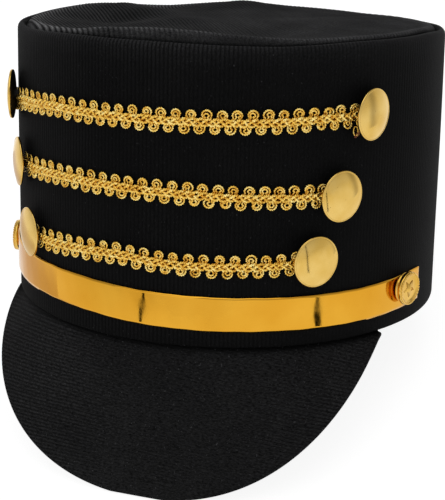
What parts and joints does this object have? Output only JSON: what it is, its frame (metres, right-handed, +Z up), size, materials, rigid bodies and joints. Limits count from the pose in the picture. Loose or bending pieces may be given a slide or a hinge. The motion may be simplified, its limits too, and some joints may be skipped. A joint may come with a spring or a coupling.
{
  "type": "costume soldier hat",
  "caption": "Tall round black cloth hat with a flat soft top, a steep peak, rows of gold braid between domed buttons, and a gold foil band.",
  "frame": {"origin": "centre of the bounding box, on the level surface that the hat stands on", "axes": "-Y toward the hat's front, +X toward the wearer's left, +Z up from the surface; the crown leans back by 18 degrees"},
  "size_m": [0.2008, 0.2504, 0.1783],
  "materials": {
    "crown_cloth": "ribbed woven cloth, matt",
    "top_cloth": "ribbed woven cloth, matt",
    "visor_cloth": "ribbed woven cloth over a stiff sheet",
    "gold_foil": "mirror gold foil",
    "gold_cord": "twisted metallic cord",
    "gilt_metal": "polished, light gold"
  },
  "bodies": {
    "root": {"crown_wall": "crown_cloth", "crown_top": "top_cloth", "visor": "visor_cloth", "gold_band": "gold_foil", "braid_upper": "gold_cord", "braid_middle": "gold_cord", "braid_lower": "gold_cord", "button_upper_right": "gilt_metal", "button_upper_left": "gilt_metal", "button_middle_right": "gilt_metal", "button_middle_left": "gilt_metal", "button_lower_right": "gilt_metal", "button_lower_left": "gilt_metal", "strap_button_right": "gilt_metal", "strap_button_left": "gilt_metal"}
  },
  "joints": []
}
